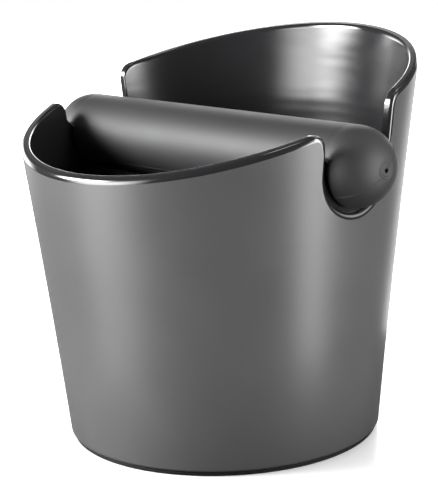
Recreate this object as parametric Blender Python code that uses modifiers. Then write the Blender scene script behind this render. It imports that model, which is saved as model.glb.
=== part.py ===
"""Espresso knock box: a flared bin with a slanted rim, and a rubber knock bar.

The bar lies in two U-slots in the bin's side walls. A saddle rib in each slot fits a
groove in the bar's rubber sleeve, so the bar can't turn or slide out sideways, and
it lifts straight up for washing. A rubber pad under the base keeps the box in place.

Frame: +Z is up and the origin is on the surface that the box stands on, at the middle
of its base. +X runs along the knock bar, and the low front lip faces -Y. Metres.
"""

import math

import bmesh
import bpy

COLLECTION = "espresso_knock_box"

# Bin wall: outer radius = BASE_RADIUS + WALL_SLOPE * z + WALL_FLARE * z * z
BASE_RADIUS = 0.0595
WALL_SLOPE = 0.101
WALL_FLARE = 0.128
WALL_THICKNESS = 0.0039
UNDERSIDE = 0.0018
FLOOR_TOP = 0.0054
FLOOR_FILLET = 0.006
BLANK_TOP = 0.156

# Rim: one slanted plane, z = RIM_HEIGHT + RIM_RISE * y
RIM_HEIGHT = 0.1283
RIM_RISE = 0.266

# Knock bar, along X
BAR_HEIGHT = 0.109
BAR_RADIUS = 0.0146
BAR_STRAIGHT = 0.0678
DOME_LENGTH = 0.0159
DOME_FULLNESS = 1.25
PIN_HOLE_RADIUS = 0.0007
CORE_RADIUS = 0.0060
CORE_HALF_LENGTH = 0.0720
CORE_CHAMFER = 0.0008

# Slots in the wall, and the grooves of the bar that sit on their saddle ribs
SLOT_HALF_WIDTH = 0.0162
FRONT_CORNER = 0.0046
REAR_CORNER = 0.0068
RIB_OUTER_X = 0.0682
RIB_TOP = BAR_HEIGHT + 0.0022
NECK_HALF_WIDTH = 0.0117
GROOVE_INNER_X = 0.0658
GROOVE_OUTER_X = 0.0690

# Base pad, pressed into a channel in the underside
PAD_RADIUS = 0.0586
PAD_THICKNESS = 0.0015
CHANNEL_INNER = 0.0490
CHANNEL_OUTER = 0.0535
CHANNEL_DEPTH = 0.0015

GAP = 0.0003
MERGE = 0.00001
BIN_STEPS = 72
BAR_STEPS = 40
WALL_ROWS = 7
ARC_STEPS = 20
CORNER_STEPS = 6


def outer_radius(z):
    return BASE_RADIUS + WALL_SLOPE * z + WALL_FLARE * z * z


def inner_radius(z):
    return outer_radius(z) - WALL_THICKNESS


def rim_z(y):
    return RIM_HEIGHT + RIM_RISE * y


def spread(start, end, count):
    """Evenly spaced values from start to end, both included."""
    return [start + (end - start) * i / (count - 1) for i in range(count)]


def arc(center, radius, start, end, steps):
    """Points on a circle, from one angle to another in degrees."""
    angles = [math.radians(a) for a in spread(start, end, steps + 1)]
    return [(center[0] + radius * math.cos(a), center[1] + radius * math.sin(a)) for a in angles]


def new_collection(name):
    collection = bpy.data.collections.new(name)
    bpy.context.scene.collection.children.link(collection)
    return collection


def add_object(name, mesh, collection):
    obj = bpy.data.objects.new(name, mesh)
    collection.objects.link(obj)
    return obj


def finish(obj, color, roughness, metallic=0.0):
    """Give a part its own material."""
    material = bpy.data.materials.new(obj.name)
    material.use_nodes = True
    shader = material.node_tree.nodes["Principled BSDF"]
    shader.inputs["Base Color"].default_value = (*color, 1.0)
    shader.inputs["Roughness"].default_value = roughness
    shader.inputs["Metallic"].default_value = metallic
    obj.data.materials.append(material)


def turned(name, profile, steps, collection, closed=False):
    """A profile of (radius, z) points turned about Z, running down its outer side."""
    mesh = bpy.data.meshes.new(name)
    points = [(r, 0.0, z) for r, z in profile]
    edges = [(i, i + 1) for i in range(len(points) - 1)]
    if closed:
        edges.append((len(points) - 1, 0))
    mesh.from_pydata(points, edges, [])
    obj = add_object(name, mesh, collection)
    screw = obj.modifiers.new("turn", "SCREW")
    screw.axis = "Z"
    screw.steps = steps
    screw.render_steps = steps
    screw.use_merge_vertices = True
    screw.merge_threshold = MERGE
    screw.use_smooth_shade = True
    return obj


def cutter(name, outline, x_start, x_end, collection):
    """An outline of (y, z) points, pushed out along X and kept as a hidden cutter."""
    mesh = bpy.data.meshes.new(name)
    bm = bmesh.new()
    face = bm.faces.new([bm.verts.new((x_start, y, z)) for y, z in outline])
    side = bmesh.ops.extrude_face_region(bm, geom=[face])
    moved = [item for item in side["geom"] if isinstance(item, bmesh.types.BMVert)]
    bmesh.ops.translate(bm, verts=moved, vec=(x_end - x_start, 0.0, 0.0))
    bmesh.ops.recalc_face_normals(bm, faces=bm.faces)
    bm.to_mesh(mesh)
    bm.free()
    obj = add_object(name, mesh, collection)
    obj.hide_render = True
    obj.display_type = "WIRE"
    return obj


def cut(target, tool):
    boolean = target.modifiers.new(tool.name, "BOOLEAN")
    boolean.operation = "DIFFERENCE"
    boolean.solver = "EXACT"
    boolean.object = tool


def bin_profile():
    """From the middle of the floor up the inside, over the top and down the outside."""
    heel = FLOOR_TOP + FLOOR_FILLET
    fillet_center = (inner_radius(heel) - FLOOR_FILLET, heel)
    profile = [(0.0, FLOOR_TOP)]
    profile += arc(fillet_center, FLOOR_FILLET, -90, 0, CORNER_STEPS)
    profile += [(inner_radius(z), z) for z in spread(heel, BLANK_TOP, WALL_ROWS)[1:]]
    profile += [(outer_radius(z), z) for z in spread(BLANK_TOP, UNDERSIDE, WALL_ROWS)]
    channel_top = UNDERSIDE + CHANNEL_DEPTH
    profile += [(CHANNEL_OUTER, UNDERSIDE), (CHANNEL_OUTER, channel_top)]
    profile += [(CHANNEL_INNER, channel_top), (CHANNEL_INNER, UNDERSIDE)]
    profile.append((0.0, UNDERSIDE))
    return profile


def rim_corner(side):
    """The round corner between a slot's side and the rim, from the slot to the rim."""
    tilt = math.atan(RIM_RISE)
    radius = REAR_CORNER if side > 0 else FRONT_CORNER
    center_y = side * (SLOT_HALF_WIDTH + radius)
    center = (center_y, rim_z(center_y) - radius / math.cos(tilt))
    slot_angle = 90 + side * 90
    return arc(center, radius, slot_angle, 90 + math.degrees(tilt), CORNER_STEPS)


def rim_outline():
    """Everything above the rim line, with the slot down to its narrow saddle."""
    far = 0.1
    top = 0.2
    saddle = NECK_HALF_WIDTH + GAP
    ramp_end = RIB_TOP + SLOT_HALF_WIDTH - saddle
    outline = [(-far, top), (-far, rim_z(-far))]
    outline += reversed(rim_corner(-1))
    outline += [(-SLOT_HALF_WIDTH, ramp_end), (-saddle, RIB_TOP)]
    outline += arc((0.0, BAR_HEIGHT), saddle, 180, 360, ARC_STEPS)
    outline += [(saddle, RIB_TOP), (SLOT_HALF_WIDTH, ramp_end)]
    outline += rim_corner(1)
    outline += [(far, rim_z(far)), (far, top)]
    return outline


def recess_outline():
    """The slot's full width, which the wall has outside the saddle rib."""
    top = RIB_TOP + SLOT_HALF_WIDTH - NECK_HALF_WIDTH
    outline = arc((0.0, BAR_HEIGHT), SLOT_HALF_WIDTH, 180, 360, ARC_STEPS)
    return outline + [(SLOT_HALF_WIDTH, top), (-SLOT_HALF_WIDTH, top)]


def groove_outline():
    """A U that leaves the bar's neck: round below, flat at the sides, sloping out above the rib."""
    far = BAR_RADIUS + 0.004
    slope_start = RIB_TOP - BAR_HEIGHT + GAP
    slope_end = slope_start + far - NECK_HALF_WIDTH
    outline = [(-far, slope_end), (-far, -far), (far, -far), (far, slope_end)]
    outline.append((NECK_HALF_WIDTH, slope_start))
    outline += arc((0.0, 0.0), NECK_HALF_WIDTH, 360, 180, ARC_STEPS)
    outline.append((-NECK_HALF_WIDTH, slope_start))
    return [(y, z + BAR_HEIGHT) for y, z in outline]


def sleeve_profile():
    """The rubber's section: over the domes outside, back through the core's bore."""
    quarter = [math.radians(a) for a in (0, 14, 28, 42, 56, 68, 78, 86)]
    dome = []
    for angle in quarter:
        along = BAR_STRAIGHT + DOME_LENGTH * math.sin(angle) ** (1 / DOME_FULLNESS)
        dome.append((BAR_RADIUS * math.cos(angle), along))
    tip = BAR_STRAIGHT + DOME_LENGTH
    bore = CORE_RADIUS + GAP
    bore_end = CORE_HALF_LENGTH + GAP
    half = [(bore, bore_end), (PIN_HOLE_RADIUS, bore_end), (PIN_HOLE_RADIUS, tip)]
    half += reversed(dome)
    return half + [(r, -z) for r, z in reversed(half)]


def core_profile():
    face = CORE_RADIUS - CORE_CHAMFER
    shoulder = CORE_HALF_LENGTH - CORE_CHAMFER
    top = [(0.0, CORE_HALF_LENGTH), (face, CORE_HALF_LENGTH), (CORE_RADIUS, shoulder)]
    return top + [(r, -z) for r, z in reversed(top)]


def pad_profile():
    """A flat disc with a round rib on top that presses into the bin's channel."""
    rib_inner = CHANNEL_INNER + GAP
    rib_outer = CHANNEL_OUTER - GAP
    rib_top = UNDERSIDE + CHANNEL_DEPTH - GAP
    disc_top = [(0.0, PAD_THICKNESS), (rib_inner, PAD_THICKNESS)]
    rib = [(rib_inner, rib_top), (rib_outer, rib_top), (rib_outer, PAD_THICKNESS)]
    return disc_top + rib + [(PAD_RADIUS, PAD_THICKNESS), (PAD_RADIUS, 0.0), (0.0, 0.0)]


def make_bin(parts, cutters):
    body = turned("bin", bin_profile(), BIN_STEPS, parts)
    cut(body, cutter("rim_and_saddles", rim_outline(), -0.1, 0.1, cutters))
    for side, name in ((-1, "recess_left"), (1, "recess_right")):
        ends = sorted((side * RIB_OUTER_X, side * 0.1))
        cut(body, cutter(name, recess_outline(), *ends, cutters))
    finish(body, (0.075, 0.077, 0.080), 0.32)


def make_base_pad(parts):
    pad = turned("base_pad", pad_profile(), BIN_STEPS, parts)
    finish(pad, (0.012, 0.012, 0.012), 0.75)


def make_knock_bar(parts, cutters):
    """The sleeve and its core, under an empty on the line that the bar lifts along."""
    seat = bpy.data.objects.new("knock_bar_seat", None)
    seat.location = (0.0, 0.0, BAR_HEIGHT)
    parts.objects.link(seat)
    sleeve = turned("bar_sleeve", sleeve_profile(), BAR_STEPS, parts, closed=True)
    core = turned("bar_core", core_profile(), BAR_STEPS, parts)
    for piece in (sleeve, core):
        piece.parent = seat
        piece.rotation_euler = (0.0, math.radians(90), 0.0)
    for side, name in ((-1, "groove_left"), (1, "groove_right")):
        ends = sorted((side * GROOVE_INNER_X, side * GROOVE_OUTER_X))
        cut(sleeve, cutter(name, groove_outline(), *ends, cutters))
    finish(sleeve, (0.060, 0.061, 0.062), 0.60)
    finish(core, (0.560, 0.565, 0.570), 0.30, metallic=1.0)


def main():
    for obj in list(bpy.data.objects):
        bpy.data.objects.remove(obj, do_unlink=True)
    parts = new_collection(COLLECTION)
    cutters = new_collection("cutters")
    make_bin(parts, cutters)
    make_base_pad(parts)
    make_knock_bar(parts, cutters)


main()
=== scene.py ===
"""Visual model of the espresso knock box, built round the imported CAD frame.

Metres, in the frame's own axes: +Z up, +X along the knock bar, the low front lip at -Y.
"""

import math

import bpy
import numpy as np
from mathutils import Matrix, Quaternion, Vector
from mathutils.geometry import delaunay_2d_cdt


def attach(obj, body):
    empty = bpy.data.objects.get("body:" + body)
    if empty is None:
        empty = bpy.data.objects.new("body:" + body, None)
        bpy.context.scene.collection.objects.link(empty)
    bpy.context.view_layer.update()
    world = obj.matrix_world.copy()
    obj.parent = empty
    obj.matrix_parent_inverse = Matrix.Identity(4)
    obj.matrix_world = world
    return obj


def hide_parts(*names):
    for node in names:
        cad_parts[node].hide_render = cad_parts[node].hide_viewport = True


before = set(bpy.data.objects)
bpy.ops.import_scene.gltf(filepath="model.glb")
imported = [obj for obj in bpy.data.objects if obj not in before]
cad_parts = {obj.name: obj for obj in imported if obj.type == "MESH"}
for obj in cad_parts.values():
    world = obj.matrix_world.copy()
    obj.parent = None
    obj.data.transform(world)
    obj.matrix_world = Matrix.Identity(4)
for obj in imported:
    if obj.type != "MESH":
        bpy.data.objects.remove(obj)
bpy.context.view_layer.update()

# Bin wall and rim, the same shape as the CAD bin
BASE_RADIUS = 0.0595
WALL_SLOPE = 0.101
WALL_FLARE = 0.128
WALL_THICKNESS = 0.0039
UNDERSIDE = 0.0018
FLOOR_TOP = 0.0054
FLOOR_FILLET = 0.006
RIM_HEIGHT = 0.1283
RIM_RISE = 0.266
TILT = math.atan(RIM_RISE)
RIM_NORMAL = (0.0, -math.sin(TILT), math.cos(TILT))

# Slots and their saddle ribs
BAR_HEIGHT = 0.109
SLOT_HALF_WIDTH = 0.0162
FRONT_CORNER = 0.0046
REAR_CORNER = 0.0068
RIB_OUTER_X = 0.0682
RIB_TOP = 0.1112
SADDLE = 0.0120
RAMP_TOP = RIB_TOP + SLOT_HALF_WIDTH - SADDLE

# Knock bar
BAR_RADIUS = 0.0146
BAR_STRAIGHT = 0.0678
DOME_LENGTH = 0.0159
DOME_FULLNESS = 1.25
PIN_HOLE_RADIUS = 0.0007
BORE_RADIUS = 0.0063
BORE_END = 0.0723
NECK_HALF_WIDTH = 0.0117
NECK_RAMP_RISE = 0.0025
GROOVE_INNER_X = 0.0658
GROOVE_OUTER_X = 0.0690

# Base pad
PAD_RADIUS = 0.0586
PAD_THICKNESS = 0.0015
CHANNEL_INNER = 0.0490
CHANNEL_OUTER = 0.0535
CHANNEL_DEPTH = 0.0015
GAP = 0.0003

# Units and mesh
MM = 0.001
WELD = 0.000001
TURN_STEPS = 192
FILLET_STEPS = 7
RIB_STEPS = 3
RIM_STEPS = 76
CORNER_STEPS = 22
U_STEPS = 40
SETTLE_STEPS = 40
WALL_SPACING = 2.2
WALL_CLEARANCE = 1.1
HEEL_ROUND = 0.9 * MM

# The bin's material slots
SATIN = 0
POLISHED = 1
RIM = 2


# ---------------------------------------------------------------- mesh building


class Shell:
    """Faces with an exact normal at each corner. Points at one place are one vertex."""

    def __init__(self):
        self.points = []
        self.index = {}
        self.faces = []
        self.normals = []
        self.finishes = []

    def vertex(self, point):
        key = tuple(round(c / WELD) for c in point)
        if key not in self.index:
            self.index[key] = len(self.points)
            self.points.append(tuple(point))
        return self.index[key]

    def face(self, corners, finish=SATIN):
        """Corners are (point, normal) pairs, and the winding follows the normals."""
        ring = []
        normals = []
        for point, normal in corners:
            vertex = self.vertex(point)
            if vertex not in ring:
                ring.append(vertex)
                normals.append(normal)
        if len(ring) < 3:
            return
        spots = [Vector(self.points[v]) for v in ring]
        across = (spots[1] - spots[0]).cross(spots[2] - spots[0])
        if len(ring) == 4:
            across = (spots[2] - spots[0]).cross(spots[3] - spots[1])
        if across.dot(sum((Vector(n) for n in normals), Vector())) < 0:
            ring.reverse()
            normals.reverse()
        self.faces.append(ring)
        self.normals += normals
        self.finishes.append(finish)

    def grid(self, rows, finish=SATIN, closed=False):
        """Quads between rows of (point, normal) pairs, each row as long as the next."""
        pairs = list(zip(rows, rows[1:]))
        if closed:
            pairs.append((rows[-1], rows[0]))
        for first, second in pairs:
            for i in range(len(first) - 1):
                self.face((first[i], first[i + 1], second[i + 1], second[i]), finish)

    def build(self, name, materials):
        mesh = bpy.data.meshes.new(name)
        mesh.from_pydata(self.points, [], self.faces)
        for material in materials:
            mesh.materials.append(material)
        for polygon, finish in zip(mesh.polygons, self.finishes):
            polygon.material_index = finish
            polygon.use_smooth = True
        mesh.normals_split_custom_set([tuple(n) for n in self.normals])
        obj = bpy.data.objects.new(name, mesh)
        bpy.context.scene.collection.objects.link(obj)
        return obj


def lerp(a, b, t):
    return a + (b - a) * t


def spread(start, end, count):
    return [lerp(start, end, i / (count - 1)) for i in range(count)]


def smooth(low, high, value):
    t = min(1.0, max(0.0, (value - low) / (high - low)))
    return t * t * (3 - 2 * t)


def fillet(corner, normal_a, normal_b, along_a, along_b, steps):
    """Rounds a convex edge, from face a to face b, as (point, normal) pairs."""
    a, b = Vector(normal_a), Vector(normal_b)
    down_a = -(b - a * a.dot(b)).normalized()
    down_b = -(a - b * a.dot(b)).normalized()
    edge = a.cross(b).normalized()
    section = []
    for angle in spread(0.0, math.pi / 2, steps + 1):
        shift_a = down_a * along_a * (1 - math.sin(angle))
        shift_b = down_b * along_b * (1 - math.cos(angle))
        tangent = down_b * along_b * math.sin(angle) - down_a * along_a * math.cos(angle)
        normal = edge.cross(tangent).normalized()
        if normal.dot(a + b) < 0:
            normal = -normal
        section.append((Vector(corner) + shift_a + shift_b, normal))
    return section


def lathe(shell, profile, finish=SATIN):
    """Turns a profile of ((radius, z), (normal_r, normal_z)) pairs about Z."""
    rows = []
    for i in range(TURN_STEPS):
        c, s = turn(i * 2 * math.pi / TURN_STEPS)
        rows.append([((r * c, r * s, z), (nr * c, nr * s, nz)) for (r, z), (nr, nz) in profile])
    shell.grid(rows, finish, closed=True)


def turn(angle):
    """Cosine and sine, with exact zeros on the axes, so mirrored halves share points."""
    return round(math.cos(angle), 12), round(math.sin(angle), 12)


# ---------------------------------------------------------------- bin


def outer_radius(z):
    return BASE_RADIUS + WALL_SLOPE * z + WALL_FLARE * z * z


def inner_radius(z):
    return outer_radius(z) - WALL_THICKNESS


def wall_slope(z):
    return WALL_SLOPE + 2 * WALL_FLARE * z


def wall_normal(point, inward):
    """The wall's exact normal at a point: out of the material on either side."""
    flat = Vector((point[0], point[1], 0.0)).normalized()
    normal = Vector((flat.x, flat.y, -wall_slope(point[2]))).normalized()
    return -normal if inward else normal


def on_wall(point, radius_at):
    """Moves a point sideways onto the wall."""
    flat = math.hypot(point[0], point[1])
    scale = radius_at(point[2]) / flat
    return Vector((point[0] * scale, point[1] * scale, point[2]))


def rim_point(angle, radius_at):
    """Where the wall meets the slanted rim plane, at an angle about Z."""
    c, s = turn(angle)
    z = RIM_HEIGHT
    for _ in range(SETTLE_STEPS):
        z = RIM_HEIGHT + RIM_RISE * radius_at(z) * s
    return Vector((radius_at(z) * c, radius_at(z) * s, z))


def slot_point(y, z, radius_at):
    return Vector((math.sqrt(radius_at(z) ** 2 - y * y), y, z))


def section(outer_edge, inner_edge, outer_normal, inner_normal, sizes, middle):
    """One cut through the wall's edge, from the outer wall over the top to the inner."""
    out_wall, out_top, in_wall, in_top = sizes
    out_side = wall_normal(outer_edge, inward=False)
    in_side = wall_normal(inner_edge, inward=True)
    outside = fillet(outer_edge, out_side, outer_normal, out_wall, out_top, FILLET_STEPS)
    inside = fillet(inner_edge, inner_normal, in_side, in_top, in_wall, FILLET_STEPS)
    foot = on_wall(outside[0][0], outer_radius)
    outside[0] = (foot, wall_normal(foot, inward=False))
    foot = on_wall(inside[-1][0], inner_radius)
    inside[-1] = (foot, wall_normal(foot, inward=True))
    return outside + middle(outside[-1][0], inside[0][0]) + inside


def plain_middle(normal, pull):
    """A flat top between the two roundings, its columns drawn to the rib by pull."""

    def middle(start, end):
        count = RIB_STEPS + 3
        points = [start.lerp(end, (i + 1) / (count + 1)) for i in range(count)]
        for i, point in enumerate(points):
            goal = Vector((RIB_OUTER_X, point.y, point.z))
            points[i] = point.lerp(goal, pull)
        return [(point, Vector(normal)) for point in points]

    return middle


def rib_middle(wide, wide_normal, narrow, narrow_normal):
    """The slot's full width, then the rib's face, then the rib's rounded edge."""
    y_step = Vector((0.0, *narrow_normal))
    reach = (Vector(wide) - Vector(narrow)).length
    edge = min(0.25 * MM, 0.3 * reach)

    def middle(start, end):
        foot = Vector((RIB_OUTER_X, *wide))
        lip = Vector((RIB_OUTER_X - edge, *narrow)) - y_step * edge
        columns = [(foot, Vector((0.0, *wide_normal))), (foot, Vector((1.0, 0.0, 0.0)))]
        for angle in spread(0.0, math.pi / 2, RIB_STEPS + 1):
            normal = Vector((math.cos(angle), 0.0, 0.0)) + y_step * math.sin(angle)
            columns.append((lip + normal * edge, normal))
        return columns

    return middle


def edge_sizes(z, in_slot, turned=1.0):
    """How far each rounding reaches: outer wall, outer top, inner wall, inner top.

    The inner rounding is wide on the rim, and narrows round the corner into a slot.
    """
    low = smooth(RAMP_TOP + 3 * MM, RAMP_TOP, z) if in_slot else 0.0
    if z < BAR_HEIGHT and in_slot:
        deep = smooth(BAR_HEIGHT, BAR_HEIGHT - SLOT_HALF_WIDTH, z)
        return (lerp(1.4, 2.5, deep) * MM, lerp(1.3, 1.6, deep) * MM, 0.3 * MM, 0.3 * MM)
    return (
        lerp(2.1, 1.4, low) * MM,
        lerp(1.7, 1.3, low) * MM,
        lerp(lerp(1.6, 0.5, turned), 0.3, low) * MM,
        lerp(lerp(0.8, 0.5, turned), 0.3, low) * MM,
    )


def corner_radius(side):
    """The round corner between a slot and the rim is larger at the back."""
    return REAR_CORNER if side > 0 else FRONT_CORNER


def rim_sections(side):
    """The slanted rim from its middle, at the front or back, to a slot's corner."""
    corner = corner_radius(side)
    corner_y = side * (SLOT_HALF_WIDTH + corner) - corner * math.sin(TILT)
    corner_z = RIM_HEIGHT + RIM_RISE * corner_y
    ends = [math.asin(corner_y / radius(corner_z)) for radius in (outer_radius, inner_radius)]
    sections = []
    for t in spread(0.0, 1.0, RIM_STEPS):
        outer, inner = (lerp(side * math.pi / 2, end, t) for end in ends)
        sections.append(section(
            rim_point(outer, outer_radius),
            rim_point(inner, inner_radius),
            RIM_NORMAL,
            RIM_NORMAL,
            edge_sizes(RIM_HEIGHT, False, 0.0),
            plain_middle(RIM_NORMAL, 0.0),
        ))
    return sections


def slot_sections(side):
    """From a slot's corner on the rim, down its side to the middle of the U."""
    corner = corner_radius(side)
    center_y = side * (SLOT_HALF_WIDTH + corner)
    rim_at_center = RIM_HEIGHT + RIM_RISE * center_y
    center_z = rim_at_center - corner / math.cos(TILT)
    sections = []

    def add(y, z, normal, pull, turned=1.0):
        normal_3d = Vector((0.0, *normal))
        sections.append(section(
            slot_point(y, z, outer_radius),
            slot_point(y, z, inner_radius),
            normal_3d,
            normal_3d,
            edge_sizes(z, True, turned),
            plain_middle(normal_3d, pull),
        ))

    def add_rib(wide, wide_normal, narrow, narrow_normal):
        sections.append(section(
            slot_point(*wide, outer_radius),
            slot_point(*narrow, inner_radius),
            Vector((0.0, *wide_normal)),
            Vector((0.0, *narrow_normal)),
            edge_sizes(wide[1], True),
            rib_middle(wide, wide_normal, narrow, narrow_normal),
        ))

    slot_angle = math.radians(90 + side * 90)
    rim_angle = math.pi / 2 + TILT
    for angle in spread(rim_angle, slot_angle, CORNER_STEPS):
        normal = (math.cos(angle), math.sin(angle))
        y = center_y + corner * normal[0]
        z = center_z + corner * normal[1]
        turned = smooth(0.0, 1.0, (angle - rim_angle) / (slot_angle - rim_angle))
        add(y, z, normal, 0.0, turned)
    flank = (-side, 0.0)
    rows = max(4, round((center_z - RAMP_TOP) / (0.8 * MM)))
    for z in spread(center_z, RAMP_TOP, rows)[1:]:
        add(side * SLOT_HALF_WIDTH, z, flank, smooth(center_z, RAMP_TOP, z))
    ramp = (-side * math.sqrt(0.5), math.sqrt(0.5))
    for t in spread(0.0, 1.0, 7):
        z = lerp(RAMP_TOP, RIB_TOP, t)
        narrow = (side * lerp(SLOT_HALF_WIDTH, SADDLE, t), z)
        add_rib((side * SLOT_HALF_WIDTH, z), flank, narrow, ramp)
    for z in spread(RIB_TOP, BAR_HEIGHT, 4):
        add_rib((side * SLOT_HALF_WIDTH, z), flank, (side * SADDLE, z), flank)
    for angle in spread(0.0, math.pi / 2, U_STEPS)[1:]:
        away = (side * math.cos(angle), -math.sin(angle))
        inward = (-away[0], -away[1])
        wide = (SLOT_HALF_WIDTH * away[0], BAR_HEIGHT + SLOT_HALF_WIDTH * away[1])
        narrow = (SADDLE * away[0], BAR_HEIGHT + SADDLE * away[1])
        add_rib(wide, inward, narrow, inward)
    return sections


def inside(points, polygon):
    """Which points lie in a polygon, and stand clear of its corners."""
    starts = polygon
    ends = np.roll(polygon, -1, axis=0)
    x, y = points[:, :1], points[:, 1:]
    crosses = (starts[:, 1] > y) != (ends[:, 1] > y)
    rise = np.where(ends[:, 1] == starts[:, 1], 1.0, ends[:, 1] - starts[:, 1])
    hits = x < (ends[:, 0] - starts[:, 0]) * (y - starts[:, 1]) / rise + starts[:, 0]
    within = (crosses & hits).sum(axis=1) % 2 == 1
    nearest = np.min(np.hypot(starts[:, 0] - x, starts[:, 1] - y), axis=1)
    return within & (nearest > WALL_CLEARANCE)


def wall_faces(shell, edge_points, low_z, radius_at, inward, finish):
    """Fills the wall below a line of points, on the +X half and its mirror image.

    The wall is laid flat, v its height in millimetres and u its angle, with columns
    WALL_SPACING apart, and filled with triangles there.
    """
    spacing = WALL_SPACING

    def unroll(point):
        angle = math.atan2(point[1], point[0])
        return (math.degrees(angle) * TURN_STEPS / 360 * spacing, point[2] / MM)

    def roll(u, v):
        c, s = turn(math.radians(u / spacing * 360 / TURN_STEPS))
        radius = radius_at(v * MM)
        return (radius * c, radius * s, v * MM)

    first, last = edge_points[0], edge_points[-1]
    quarter = TURN_STEPS // 4
    rows_front = spread(first[2] / MM, low_z / MM, round((first[2] - low_z) / MM / spacing))
    rows_back = spread(low_z / MM, last[2] / MM, round((last[2] - low_z) / MM / spacing))
    border = list(edge_points[::-1])
    border += [roll(-quarter * spacing, v) for v in rows_front[1:-1]]
    border += [roll(i * spacing, low_z / MM) for i in range(-quarter, quarter + 1)]
    border += [roll(quarter * spacing, v) for v in rows_back[1:-1]]
    flat = [unroll(point) for point in border]
    columns = [i * spacing for i in range(1 - quarter, quarter)]
    rows = np.arange(low_z / MM + spacing, max(first[2], last[2]) / MM, spacing)
    field = np.array([(u, v) for u in columns for v in rows])
    field = field[inside(field, np.array(flat))]
    spots = [Vector(p) for p in flat] + [Vector(p) for p in field.tolist()]
    ring = list(range(len(flat)))
    result = delaunay_2d_cdt(spots, [], [ring], 1, 1e-6)
    places = []
    for spot, origins in zip(result[0], result[3]):
        known = [o for o in origins if o < len(border)]
        places.append(border[known[0]] if known else roll(spot.x, spot.y))
    for triangle in result[2]:
        corners = [(places[v], wall_normal(places[v], inward)) for v in triangle]
        shell.face(corners, finish)
        shell.face([mirror(corner) for corner in corners], finish)


def mirror(corner):
    """A (point, normal) pair on the other side of the x = 0 plane."""
    (x, y, z), (nx, ny, nz) = corner
    return (-x, y, z), (-nx, ny, nz)


def bin_bottom(shell):
    """The rounded heel and the underside, with the channel that holds the pad."""
    slope = wall_slope(UNDERSIDE)
    length = math.hypot(1.0, slope)
    side = Vector((1.0 / length, 0.0, -slope / length))
    corner = Vector((outer_radius(UNDERSIDE), 0.0, UNDERSIDE))
    heel = fillet(corner, side, (0.0, 0.0, -1.0), HEEL_ROUND, HEEL_ROUND, 6)
    first_z = heel[0][0].z
    heel[0] = (Vector((outer_radius(first_z), 0.0, first_z)), heel[0][1])
    profile = [((p.x, p.z), (n.x, n.z)) for p, n in heel]
    top = UNDERSIDE + CHANNEL_DEPTH
    profile.append(((CHANNEL_OUTER, UNDERSIDE), (0.0, -1.0)))
    profile.append(((CHANNEL_OUTER, UNDERSIDE), (-1.0, 0.0)))
    profile.append(((CHANNEL_OUTER, top), (-1.0, 0.0)))
    profile += [((r, top), (0.0, -1.0)) for r in (CHANNEL_OUTER, CHANNEL_INNER)]
    profile.append(((CHANNEL_INNER, top), (1.0, 0.0)))
    profile.append(((CHANNEL_INNER, UNDERSIDE), (1.0, 0.0)))
    profile += [((r, UNDERSIDE), (0.0, -1.0)) for r in spread(CHANNEL_INNER, 0.0, 12)]
    lathe(shell, profile)
    return first_z


def bin_floor(shell):
    """The floor, and the rounding up to the inner wall."""
    heel = FLOOR_TOP + FLOOR_FILLET
    center = inner_radius(heel) - FLOOR_FILLET
    lean = math.atan(wall_slope(heel))
    profile = [((r, FLOOR_TOP), (0.0, 1.0)) for r in spread(0.0, center, 14)]
    for angle in spread(0.0, math.pi / 2 - lean, 9)[1:-1]:
        s, c = math.sin(angle), math.cos(angle)
        point = (center + FLOOR_FILLET * s, heel - FLOOR_FILLET * c)
        profile.append((point, (-s, c)))
    profile.append(((inner_radius(heel), heel), (-math.cos(lean), math.sin(lean))))
    lathe(shell, profile, POLISHED)
    return heel


def make_bin(materials):
    shell = Shell()
    front = rim_sections(-1) + slot_sections(-1)
    back = rim_sections(1) + slot_sections(1)
    strip = front + back[::-1]
    for rows in (strip, [[mirror(corner) for corner in row] for row in strip]):
        shell.grid(rows, RIM)
    outer_edge = distinct([tuple(row[0][0]) for row in strip])
    inner_edge = distinct([tuple(row[-1][0]) for row in strip])
    low = bin_bottom(shell)
    wall_faces(shell, outer_edge, low, outer_radius, False, SATIN)
    heel = bin_floor(shell)
    wall_faces(shell, inner_edge, heel, inner_radius, True, POLISHED)
    return shell.build("bin_shell", materials)


def distinct(points):
    """A line of points without the repeats that sit at creases and joins."""
    kept = [points[0]]
    for point in points[1:]:
        if math.dist(point, kept[-1]) > 5 * WELD:
            kept.append(point)
    return kept


# ---------------------------------------------------------------- base pad


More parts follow.
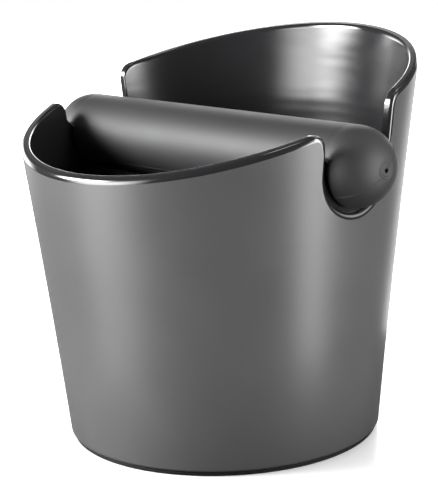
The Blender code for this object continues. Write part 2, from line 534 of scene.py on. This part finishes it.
def make_base_pad(material):
    """A disc with rounded edges, and rings of tread moulded into its underside."""
    shell = Shell()
    edge = 0.4 * MM
    tread = 0.35 * MM
    tread_margin = 2.2 * MM
    tread_pitch = 3.0 * MM
    tread_end = 12 * MM
    rib_inner = CHANNEL_INNER + GAP
    rib_outer = CHANNEL_OUTER - GAP
    rib_top = UNDERSIDE + CHANNEL_DEPTH - GAP
    up, down, out, back = (0.0, 1.0), (0.0, -1.0), (1.0, 0.0), (-1.0, 0.0)
    profile = [((r, PAD_THICKNESS), up) for r in spread(0.0, rib_inner, 6)]
    profile += [((rib_inner, PAD_THICKNESS), back), ((rib_inner, rib_top), back)]
    profile += [((rib_inner, rib_top), up), ((rib_outer, rib_top), up)]
    profile += [((rib_outer, rib_top), out), ((rib_outer, PAD_THICKNESS), out)]
    profile += [((rib_outer, PAD_THICKNESS), up), ((PAD_RADIUS - edge, PAD_THICKNESS), up)]
    for angle in spread(math.pi / 2, -math.pi / 2, 9):
        c, s = math.cos(angle), math.sin(angle)
        half = PAD_THICKNESS / 2
        lift = math.copysign(half - edge, s) if abs(s) > WELD else 0.0
        profile.append(((PAD_RADIUS - edge + edge * c, half + lift + edge * s), (c, s)))
    radius = PAD_RADIUS - tread_margin
    while radius > tread_end:
        for r, z in ((0.0, 0.0), (0.25, tread), (1.05, tread), (1.3, 0.0)):
            profile.append(((radius - r * MM, z), down))
        radius -= tread_pitch
    profile.append(((0.0, 0.0), down))
    lathe(shell, profile)
    return shell.build("pad_treaded", [material])


# ---------------------------------------------------------------- knock bar

FLASH_ANGLE = math.radians(218)
FLASH_HEIGHT = 0.20 * MM
FLASH_WIDTH = 0.18 * MM
RING_HEIGHT = 0.07 * MM
RING_PITCH = 0.95 * MM
RINGS_OUTER = 4.4 * MM
FLANK_ROUND = 0.4 * MM
LIP_ROUND = 0.9 * MM
NECK_EASE = 0.3 * MM
FINE_DOME_ANGLE = math.acos(RINGS_OUTER / BAR_RADIUS)
LAST_DOME_ANGLE = math.acos(1.8 * PIN_HOLE_RADIUS / BAR_RADIUS)


def dome_point(angle):
    along = BAR_STRAIGHT + DOME_LENGTH * math.sin(angle) ** (1 / DOME_FULLNESS)
    return along, BAR_RADIUS * math.cos(angle)


def neck_depth(angle, radius):
    """How deep the groove is: round below, flat at the sides, then sloping out to an end."""
    neck = NECK_HALF_WIDTH
    out, up = abs(math.cos(angle)), math.sin(angle)
    if up > 0:
        ramp = (NECK_HALF_WIDTH - NECK_RAMP_RISE) / max(0.5, out - up)
        neck = max(NECK_HALF_WIDTH / max(0.5, out), ramp)
    depth = radius - neck
    return (depth + math.hypot(depth, NECK_EASE)) / 2


def bar_radius(x):
    """The plain bar's radius at x, on its straight part and its domes."""
    along = min(1.0, max(0.0, x - BAR_STRAIGHT) / DOME_LENGTH)
    return BAR_RADIUS * math.sqrt(1 - along ** (2 * DOME_FULLNESS))


def bar_section(angle):
    """(x, radius) points at one angle about the bar, from its middle to the pin hole."""
    depth = neck_depth(angle, BAR_RADIUS)
    edge = min(FLANK_ROUND, depth / 2)
    floor = BAR_RADIUS - depth
    quarter = spread(0.0, math.pi / 2, 6)
    sines = [math.sin(a) for a in quarter]
    cosines = [math.cos(a) for a in quarter]
    points = [(x, BAR_RADIUS) for x in spread(0.0, GROOVE_INNER_X - 2 * FLANK_ROUND, 22)]
    for s, c in zip(sines, cosines):
        points.append((GROOVE_INNER_X - edge * (1 - s), BAR_RADIUS - edge * (1 - c)))
    for s, c in zip(sines, cosines):
        points.append((GROOVE_INNER_X + edge * (1 - c), floor + edge * (1 - s)))
    for s, c in zip(reversed(sines), reversed(cosines)):
        points.append((GROOVE_OUTER_X - edge * (1 - c), floor + edge * (1 - s)))
    lip = min(LIP_ROUND, depth / 2)
    for s, c in zip(reversed(sines), reversed(cosines)):
        x = GROOVE_OUTER_X + lip * (1 - s)
        points.append((x, bar_radius(x) - lip * (1 - c)))
    past_lip = (GROOVE_OUTER_X + 1.5 * LIP_ROUND - BAR_STRAIGHT) / DOME_LENGTH
    start = math.asin(past_lip ** DOME_FULLNESS)
    points += [dome_point(a) for a in spread(start, FINE_DOME_ANGLE, 60)[:-1]]
    points += [dome_point(a) for a in spread(FINE_DOME_ANGLE, LAST_DOME_ANGLE, 50)]
    return points


def make_sleeve(material):
    """Rubber sleeve: domed ends, grooves, moulding flash and pin holes, and its bore."""
    seams = (FLASH_ANGLE - math.pi, FLASH_ANGLE)
    near = [o * FLASH_WIDTH / BAR_RADIUS for o in (-3, -2, -1.3, -0.7, 0, 0.7, 1.3, 2, 3)]
    clear = 3.5 * FLASH_WIDTH / BAR_RADIUS
    angles = [math.radians(2 * i) for i in range(180)]
    angles = [a for a in angles if min(abs(a - seam) for seam in seams) > clear]
    angles = sorted(angles + [seam + offset for seam in seams for offset in near])
    tail = bore_points()
    rings = []
    for angle in angles:
        off_seam = min(abs(angle - seam) for seam in seams) * BAR_RADIUS / FLASH_WIDTH
        flash = FLASH_HEIGHT * math.exp(-off_seam * off_seam)
        half = [detail(x, r, flash) for x, r in bar_section(angle)]
        ring = [(-x, r) for x, r in reversed(half[1:])] + half + tail
        c, s = math.cos(angle), math.sin(angle)
        rings.append([(x, r * c, BAR_HEIGHT + r * s) for x, r in ring])
    width = len(rings[0])
    points = [point for ring in rings for point in ring]
    faces = []
    for i in range(len(rings)):
        here, after = i * width, (i + 1) % len(rings) * width
        for j in range(width):
            beside = (j + 1) % width
            faces.append((here + j, after + j, after + beside, here + beside))
    mesh = bpy.data.meshes.new("sleeve_rubber")
    mesh.from_pydata(points, [], faces)
    mesh.materials.append(material)
    mesh.polygons.foreach_set("use_smooth", [True] * len(faces))
    obj = bpy.data.objects.new("sleeve_rubber", mesh)
    bpy.context.scene.collection.objects.link(obj)
    return obj


def detail(x, radius, flash):
    """Adds the flash line and, round the pin hole, the rings that the mould's turning left."""
    rings = smooth(RINGS_OUTER, RINGS_OUTER - 1.2 * MM, radius)
    lift = RING_HEIGHT * rings * math.cos(2 * math.pi * radius / RING_PITCH)
    across = min(1.0, max(0.0, x - BAR_STRAIGHT) / DOME_LENGTH)
    flash *= smooth(2.5 * MM, 5 * MM, radius)
    return x + lift + flash * across, radius + flash * math.sqrt(1 - across * across)


def bore_points():
    """From the lip of one pin hole, in along the bore, and out to the other lip."""
    lip_x = dome_point(LAST_DOME_ANGLE)[0]
    hole = PIN_HOLE_RADIUS
    lip = [(lip_x - 0.02 * MM, 1.55 * hole), (lip_x - 0.10 * MM, 1.3 * hole)]
    lip += [(lip_x - 0.25 * MM, 1.1 * hole), (lip_x - 0.6 * MM, hole)]
    lip += [(BORE_END + 1 * MM, hole), (BORE_END, hole)]
    half = lip + [(BORE_END, BORE_RADIUS), (BORE_END - 1 * MM, BORE_RADIUS)]
    return half + [(-x, r) for x, r in reversed(half)]


# ---------------------------------------------------------------- materials

NOISE_RANGE = (0.3, 0.7)
PATCH_SCALE = 35.0
PATCH_SHARE = 0.6
WAVE_SCALE = 22.0
WAVE_FLATTEN = 6.0


def new_material(name):
    material = bpy.data.materials.new(name)
    material.use_nodes = True
    return material, material.node_tree, material.node_tree.nodes["Principled BSDF"]


def noise(tree, scale, detail=3.0, roughness=0.55, flatten=1.0):
    """Noise in the object's own metres, so its grain has a real size.

    Flatten shortens it along Z.
    """
    coordinates = tree.nodes.new("ShaderNodeTexCoord")
    place = tree.nodes.new("ShaderNodeVectorMath")
    place.operation = "MULTIPLY"
    place.inputs[1].default_value = (1.0, 1.0, flatten)
    tree.links.new(coordinates.outputs["Object"], place.inputs[0])
    node = tree.nodes.new("ShaderNodeTexNoise")
    node.inputs["Scale"].default_value = scale
    node.inputs["Detail"].default_value = detail
    node.inputs["Roughness"].default_value = roughness
    tree.links.new(place.outputs["Vector"], node.inputs["Vector"])
    return node


def ramp(tree, source, low, high, start, end):
    """Maps a factor from one range to another."""
    node = tree.nodes.new("ShaderNodeMapRange")
    node.inputs["From Min"].default_value = low
    node.inputs["From Max"].default_value = high
    node.inputs["To Min"].default_value = start
    node.inputs["To Max"].default_value = end
    tree.links.new(source, node.inputs["Value"])
    return node.outputs["Result"]


def tint(tree, source, dark, light):
    """Mixes two colours by a factor."""
    node = tree.nodes.new("ShaderNodeMix")
    node.data_type = "RGBA"
    node.inputs["A"].default_value = (*dark, 1.0)
    node.inputs["B"].default_value = (*light, 1.0)
    tree.links.new(source, node.inputs["Factor"])
    return node.outputs["Result"]


def bump(tree, source, distance, strength, before=None):
    """Turns a height into a normal, on top of the relief before it."""
    node = tree.nodes.new("ShaderNodeBump")
    node.inputs["Distance"].default_value = distance
    node.inputs["Strength"].default_value = strength
    tree.links.new(source, node.inputs["Height"])
    if before is not None:
        tree.links.new(before, node.inputs["Normal"])
    return node.outputs["Normal"]


def combine(tree, operation, first, second):
    """One math node, whose two values are numbers or other nodes' outputs."""
    node = tree.nodes.new("ShaderNodeMath")
    node.operation = operation
    for socket, value in zip(node.inputs, (first, second)):
        if isinstance(value, (int, float)):
            socket.default_value = value
        else:
            tree.links.new(value, socket)
    return node.outputs["Value"]


def surface(name, dark, light, rough, grain, grain_depth, wave=0.0):
    """A moulded surface: uneven colour and gloss, and a grain of a real size.

    A grain of 2000 is half a millimetre across. A wave is a shallow, level unevenness.
    """
    material, tree, shader = new_material(name)
    patches = noise(tree, PATCH_SCALE, 4.0).outputs["Fac"]
    grains = noise(tree, grain, 2.0, 0.6).outputs["Fac"]
    patch_share = combine(tree, "MULTIPLY", patches, PATCH_SHARE)
    grain_share = combine(tree, "MULTIPLY", grains, 1.0 - PATCH_SHARE)
    blend = combine(tree, "ADD", patch_share, grain_share)
    color = tint(tree, ramp(tree, blend, *NOISE_RANGE, 0.0, 1.0), dark, light)
    tree.links.new(color, shader.inputs["Base Color"])
    tree.links.new(ramp(tree, patches, *NOISE_RANGE, *rough), shader.inputs["Roughness"])
    waves = None
    if wave:
        flow = noise(tree, WAVE_SCALE, 1.0, flatten=WAVE_FLATTEN).outputs["Fac"]
        waves = bump(tree, flow, wave, 1.0)
    relief = bump(tree, grains, grain_depth, 0.5, waves)
    tree.links.new(relief, shader.inputs["Normal"])
    return material


def set_socket(material, socket, value):
    material.node_tree.nodes["Principled BSDF"].inputs[socket].default_value = value


def make_materials():
    """Each one's darker and lighter colour, range of roughness, grain and its depth."""
    black = (0.010, 0.010, 0.011), (0.014, 0.014, 0.015)
    grey = (0.062, 0.062, 0.062), (0.072, 0.072, 0.072)
    rubber_grey = (0.015, 0.015, 0.016), (0.021, 0.021, 0.022)
    # The pad is black rubber, made darker still as painted shade of the recess under the bin.
    pad_black_and_shade = (0.004, 0.004, 0.004), (0.008, 0.008, 0.008)
    bright = (0.50, 0.50, 0.51), (0.60, 0.60, 0.61)
    satin = surface("plastic_satin", *grey, (0.30, 0.34), 2400.0, 0.05 * MM)
    gloss = surface("plastic_polished", *black, (0.19, 0.23), 1500.0, 0.002 * MM, 0.2 * MM)
    rubber = surface("rubber_matte", *rubber_grey, (0.57, 0.63), 3000.0, 0.04 * MM)
    pad = surface("rubber_pad", *pad_black_and_shade, (0.70, 0.80), 2600.0, 0.04 * MM)
    rim = surface("plastic_rim", *black, (0.08, 0.12), 1500.0, 0.001 * MM)
    steel = surface("steel_turned", *bright, (0.22, 0.34), 1800.0, 0.01 * MM)
    set_socket(pad, "Specular IOR Level", 0.2)
    set_socket(rim, "Specular IOR Level", 0.85)
    set_socket(steel, "Metallic", 1.0)
    return satin, gloss, rim, rubber, pad, steel


# ---------------------------------------------------------------- studio

CAMERA_AZIMUTH = 46.04
CAMERA_ELEVATION = 13.48
CAMERA_DISTANCE = 0.6344
CAMERA_ROLL = -2.07
LENS = 119.8
AIM = Vector((0.0, 0.0, 0.069))
ROOM_LIGHT = 0.12
SIDE_FEATHER = 0.42
BACK_DISTANCE = 1.7
BACK_FEATHER = 0.3
TOP_FEATHER = 0.3
FLOOR_RADIUS = 1.5
GLOW_START = 0.2
GLOW_END = 0.6
GLOW_NEAR = 0.25
SHADE_RADIUS = 0.145


def direction(azimuth, elevation):
    """Azimuth 0 is the -Y side and 90 is the +X side, in degrees."""
    a, e = math.radians(azimuth), math.radians(elevation)
    return Vector((math.sin(a) * math.cos(e), -math.cos(a) * math.cos(e), math.sin(e)))


def make_camera():
    data = bpy.data.cameras.new("camera")
    data.lens = LENS
    data.sensor_width = 36.0
    data.clip_start = 0.02
    camera = bpy.data.objects.new("camera", data)
    bpy.context.scene.collection.objects.link(camera)
    toward = direction(CAMERA_AZIMUTH, CAMERA_ELEVATION)
    camera.location = AIM + toward * CAMERA_DISTANCE
    look = toward.to_track_quat("Z", "Y")
    look = look @ Quaternion((0.0, 0.0, 1.0), math.radians(CAMERA_ROLL))
    camera.rotation_mode = "QUATERNION"
    camera.rotation_quaternion = look
    bpy.context.scene.camera = camera


def softbox(name, azimuth, elevation, size, radiance, feather=SIDE_FEATHER, distance=1.2):
    """A panel of light facing the object, bright in the middle.

    Its azimuth is from the camera's, and its width and height are in degrees.
    """
    width, height = (2 * distance * math.tan(math.radians(angle) / 2) for angle in size)
    data = bpy.data.lights.new(name, "AREA")
    data.shape = "RECTANGLE"
    data.size = width
    data.size_y = height
    data.energy = radiance * math.pi * width * height
    data.use_nodes = True
    tree = data.node_tree
    place = tree.nodes.new("ShaderNodeNewGeometry")
    axes = tree.nodes.new("ShaderNodeSeparateXYZ")
    tree.links.new(place.outputs["Parametric"], axes.inputs["Vector"])
    across = panel_edge(tree, axes.outputs["X"], feather)
    along = panel_edge(tree, axes.outputs["Y"], feather)
    tree.links.new(combine(tree, "MULTIPLY", across, along), tree.nodes["Emission"].inputs["Strength"])
    light = bpy.data.objects.new(name, data)
    bpy.context.scene.collection.objects.link(light)
    toward = direction(CAMERA_AZIMUTH + azimuth, elevation)
    light.location = AIM + toward * distance
    light.rotation_mode = "QUATERNION"
    light.rotation_quaternion = toward.to_track_quat("Z", "Y")
    light.visible_camera = False
    return light


def panel_edge(tree, coordinate, feather):
    """1 over the middle of a panel, falling to 0 at both edges of one direction."""
    off_middle = combine(tree, "ABSOLUTE", combine(tree, "SUBTRACT", coordinate, 0.5), 0.0)
    node = tree.nodes.new("ShaderNodeMapRange")
    node.interpolation_type = "SMOOTHSTEP"
    node.inputs["From Min"].default_value = 0.5
    node.inputs["From Max"].default_value = 0.5 - feather
    tree.links.new(off_middle, node.inputs["Value"])
    return node.outputs["Result"]


def make_world():
    """White to the camera, and a dim grey room to everything else."""
    world = bpy.data.worlds.new("studio")
    bpy.context.scene.world = world
    world.use_nodes = True
    tree = world.node_tree
    room = tree.nodes["Background"]
    room.inputs["Color"].default_value = (1.0, 1.0, 1.0, 1.0)
    room.inputs["Strength"].default_value = ROOM_LIGHT
    white = tree.nodes.new("ShaderNodeBackground")
    white.inputs["Color"].default_value = (1.0, 1.0, 1.0, 1.0)
    path = tree.nodes.new("ShaderNodeLightPath")
    mix = tree.nodes.new("ShaderNodeMixShader")
    tree.links.new(path.outputs["Is Camera Ray"], mix.inputs["Fac"])
    tree.links.new(room.outputs["Background"], mix.inputs[1])
    tree.links.new(white.outputs["Background"], mix.inputs[2])
    tree.links.new(mix.outputs["Shader"], tree.nodes["World Output"].inputs["Surface"])


def make_disc(name, radius, z, steps):
    mesh = bpy.data.meshes.new(name)
    angles = [2 * math.pi * i / steps for i in range(steps)]
    points = [(radius * math.cos(a), radius * math.sin(a), z) for a in angles]
    mesh.from_pydata(points, [], [tuple(range(steps))])
    disc = bpy.data.objects.new(name, mesh)
    bpy.context.scene.collection.objects.link(disc)
    return disc


def make_floor():
    """A pale table top that glows, more further out. Only the camera sees it.

    The panels reach down past it, and their light passes through it.
    """
    floor = make_disc("floor", FLOOR_RADIUS, 0.0, 128)
    material, tree, shader = new_material("floor_pale")
    cloud = noise(tree, 3.0, 2.0).outputs["Fac"]
    color = tint(tree, cloud, (0.80, 0.80, 0.80), (0.82, 0.82, 0.82))
    tree.links.new(color, shader.inputs["Base Color"])
    shader.inputs["Roughness"].default_value = 0.3
    place = tree.nodes.new("ShaderNodeTexCoord")
    reach = tree.nodes.new("ShaderNodeVectorMath")
    reach.operation = "LENGTH"
    tree.links.new(place.outputs["Object"], reach.inputs[0])
    shader.inputs["Emission Color"].default_value = (1.0, 1.0, 1.0, 1.0)
    glow = ramp(tree, reach.outputs["Value"], GLOW_START, GLOW_END, GLOW_NEAR, 1.0)
    tree.links.new(glow, shader.inputs["Emission Strength"])
    floor.data.materials.append(material)
    floor.visible_glossy = False
    floor.visible_diffuse = False
    floor.visible_shadow = False


def make_shade():
    """A dark disc of painted shadow on the table close round the base. The camera doesn't see it."""
    shade = make_disc("shade", SHADE_RADIUS, -MM, 96)
    material, tree, shader = new_material("shade_dark")
    cloud = noise(tree, 30.0, 2.0).outputs["Fac"]
    # Painted shadow: the shaded table round the base, as a near-black colour.
    color = tint(tree, cloud, (0.02, 0.02, 0.02), (0.03, 0.03, 0.03))
    tree.links.new(color, shader.inputs["Base Color"])
    shader.inputs["Roughness"].default_value = 0.8
    shade.data.materials.append(material)
    shade.visible_camera = False


def make_lights():
    softbox("key_left", -68.5, 1, (60, 64), 12.5)
    softbox("key_side", -88, 22, (38, 30), 64.0)
    softbox("side_back", -142, 4, (36, 36), 7.0)
    softbox("strip_right", 59.5, 2, (35, 76), 17.8)
    softbox("side_right", 88, 8, (32, 32), 3.2)
    softbox("back_high", 170, 13, (56, 38), 8.5, BACK_FEATHER, BACK_DISTANCE)
    softbox("back_low", 168, -18, (60, 36), 2.0, BACK_FEATHER, BACK_DISTANCE)
    softbox("top", 105, 58, (44, 44), 2.0, TOP_FEATHER)
    softbox("top_small", 25, 74, (14, 14), 6.0, TOP_FEATHER)


bpy.context.scene.view_settings.view_transform = "Standard"
make_camera()
make_world()
make_floor()
make_shade()
make_lights()
satin, gloss, rim, rubber, pad_rubber, steel = make_materials()

bin_shell = make_bin([satin, gloss, rim])
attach(bin_shell, "base")
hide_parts("bin")

pad = make_base_pad(pad_rubber)
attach(pad, "base")
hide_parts("base_pad")

sleeve = make_sleeve(rubber)
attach(sleeve, "knock_bar")
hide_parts("bar_sleeve")

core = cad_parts["bar_core"]
core.data.materials.clear()
core.data.materials.append(steel)
